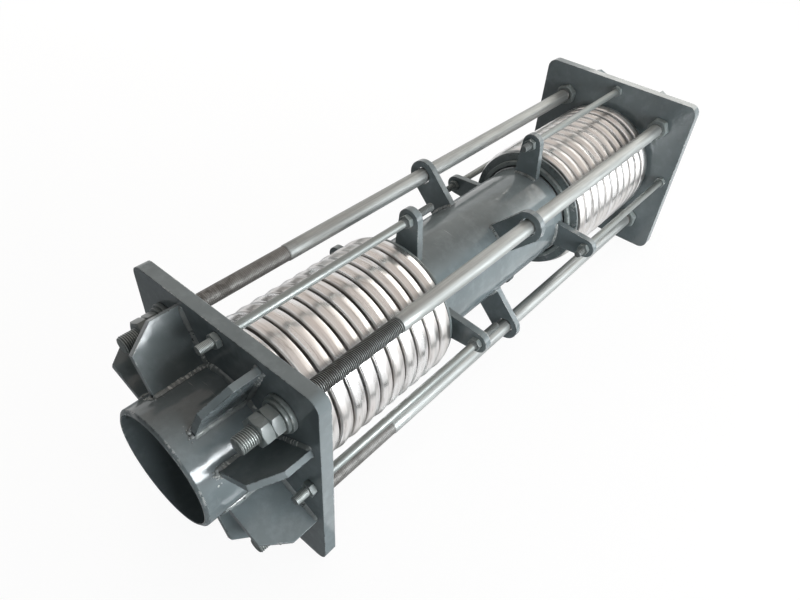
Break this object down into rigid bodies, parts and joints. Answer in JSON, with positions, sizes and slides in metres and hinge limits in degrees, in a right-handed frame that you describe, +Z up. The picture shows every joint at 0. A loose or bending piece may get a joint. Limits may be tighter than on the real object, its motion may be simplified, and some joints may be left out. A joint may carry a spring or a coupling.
{
  "type": "expansion joint",
  "caption": "Tied universal expansion joint: stainless bellows at each end of a centre spool, gusseted square end plates, tie rods through guide lugs and slim limit rods.",
  "frame": {"origin": "on the pipe axis at mid-length, which is the centre of the bounding box", "axes": "+X along the pipe axis towards the end plate that the tie rods are fixed in, +Z up, +Y to the left when looking along +X"},
  "size_m": [1.564, 0.42, 0.42],
  "materials": {
    "grey_paint": "satin blue-grey machine paint",
    "zinc_steel": "dull zinc-plated steel",
    "stainless_steel": "bright rolled stainless sheet"
  },
  "bodies": {
    "right_end": {"right_pipe": "grey_paint", "right_plate": "grey_paint", "right_gusset_1": "grey_paint", "right_gusset_2": "grey_paint", "right_gusset_3": "grey_paint", "right_gusset_4": "grey_paint", "right_gusset_5": "grey_paint", "right_gusset_6": "grey_paint", "right_gusset_7": "grey_paint", "right_gusset_8": "grey_paint", "tie_rod_1": "zinc_steel", "tie_rod_2": "zinc_steel", "tie_rod_3": "zinc_steel", "tie_rod_4": "zinc_steel", "left_tie_nuts": "grey_paint", "left_lock_nuts": "grey_paint", "right_tie_nuts": "zinc_steel", "right_lock_nuts": "zinc_steel", "right_inner_nuts": "zinc_steel", "seat_washers": "grey_paint", "thrust_washers": "grey_paint", "right_limit_rod_1": "zinc_steel", "right_limit_rod_2": "zinc_steel", "right_limit_rod_3": "zinc_steel", "right_limit_rod_4": "zinc_steel", "right_limit_nuts": "zinc_steel"},
    "spool": {"left_bellows": "stainless_steel", "right_bellows": "stainless_steel", "spool_pipe": "grey_paint", "left_end_ring": "grey_paint", "right_end_ring": "grey_paint", "left_collar": "grey_paint", "right_collar": "grey_paint", "tie_lug_1": "grey_paint", "tie_lug_2": "grey_paint", "tie_lug_3": "grey_paint", "tie_lug_4": "grey_paint", "left_limit_rod_1": "zinc_steel", "left_limit_rod_2": "zinc_steel", "left_limit_rod_3": "zinc_steel", "left_limit_rod_4": "zinc_steel", "left_limit_lug_1": "grey_paint", "left_limit_lug_2": "grey_paint", "left_limit_lug_3": "grey_paint", "left_limit_lug_4": "grey_paint", "right_limit_lug_1": "grey_paint", "right_limit_lug_2": "grey_paint", "right_limit_lug_3": "grey_paint", "right_limit_lug_4": "grey_paint", "left_limit_nuts": "zinc_steel"},
    "left_end": {"left_pipe": "grey_paint", "left_plate": "grey_paint", "left_gusset_1": "grey_paint", "left_gusset_2": "grey_paint", "left_gusset_3": "grey_paint", "left_gusset_4": "grey_paint", "left_gusset_5": "grey_paint", "left_gusset_6": "grey_paint", "left_gusset_7": "grey_paint", "left_gusset_8": "grey_paint"}
  },
  "joints": [
    {"name": "right_bellows_squeeze", "type": "slide", "parent": "right_end", "child": "spool", "axis": [1, 0, 0], "range_m": [0, 0.025], "stiffness_N_per_m": 150000, "deforming": ["right_bellows"]},
    {"name": "left_bellows_squeeze", "type": "slide", "parent": "spool", "child": "left_end", "axis": [1, 0, 0], "range_m": [0, 0.025], "stiffness_N_per_m": 150000, "deforming": ["left_bellows"]}
  ]
}
